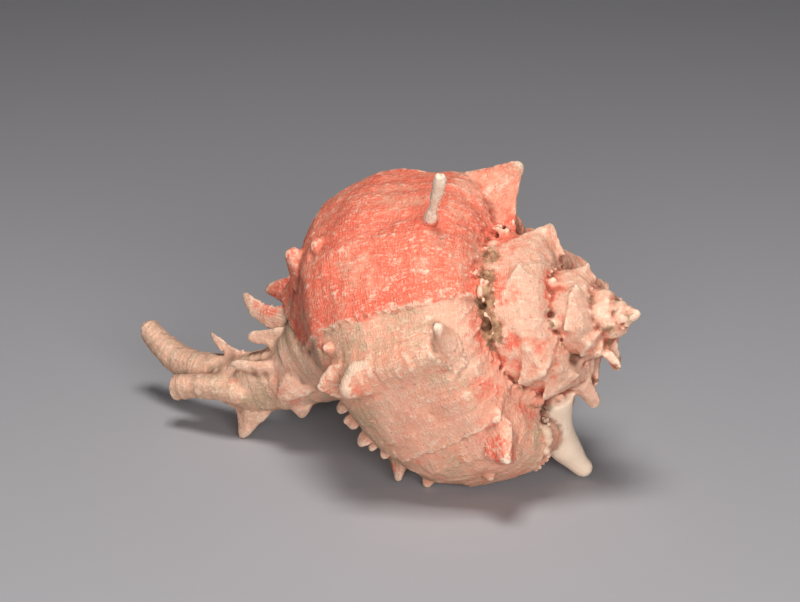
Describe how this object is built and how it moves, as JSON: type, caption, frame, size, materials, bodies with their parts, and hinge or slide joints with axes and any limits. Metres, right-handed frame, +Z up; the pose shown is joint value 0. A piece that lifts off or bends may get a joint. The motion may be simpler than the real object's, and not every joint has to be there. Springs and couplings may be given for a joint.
{
  "type": "murex shell",
  "caption": "Heavy spiny sea shell lying on its side, with a spired coil, blunt shoulder spines, a bent open canal and an open mouth underneath.",
  "frame": {"origin": "middle of the bounding box at the height of the surface the shell rests on", "axes": "+Z up, +X towards the spire's side and the longest extent, -Y towards the side with the shoulder spines seen best"},
  "size_m": [0.1521, 0.1088, 0.1046],
  "materials": {
    "shell": "chalky, matt, coral red worn to pale pink and tan"
  },
  "bodies": {
    "root": {"shell": "shell"}
  },
  "joints": []
}
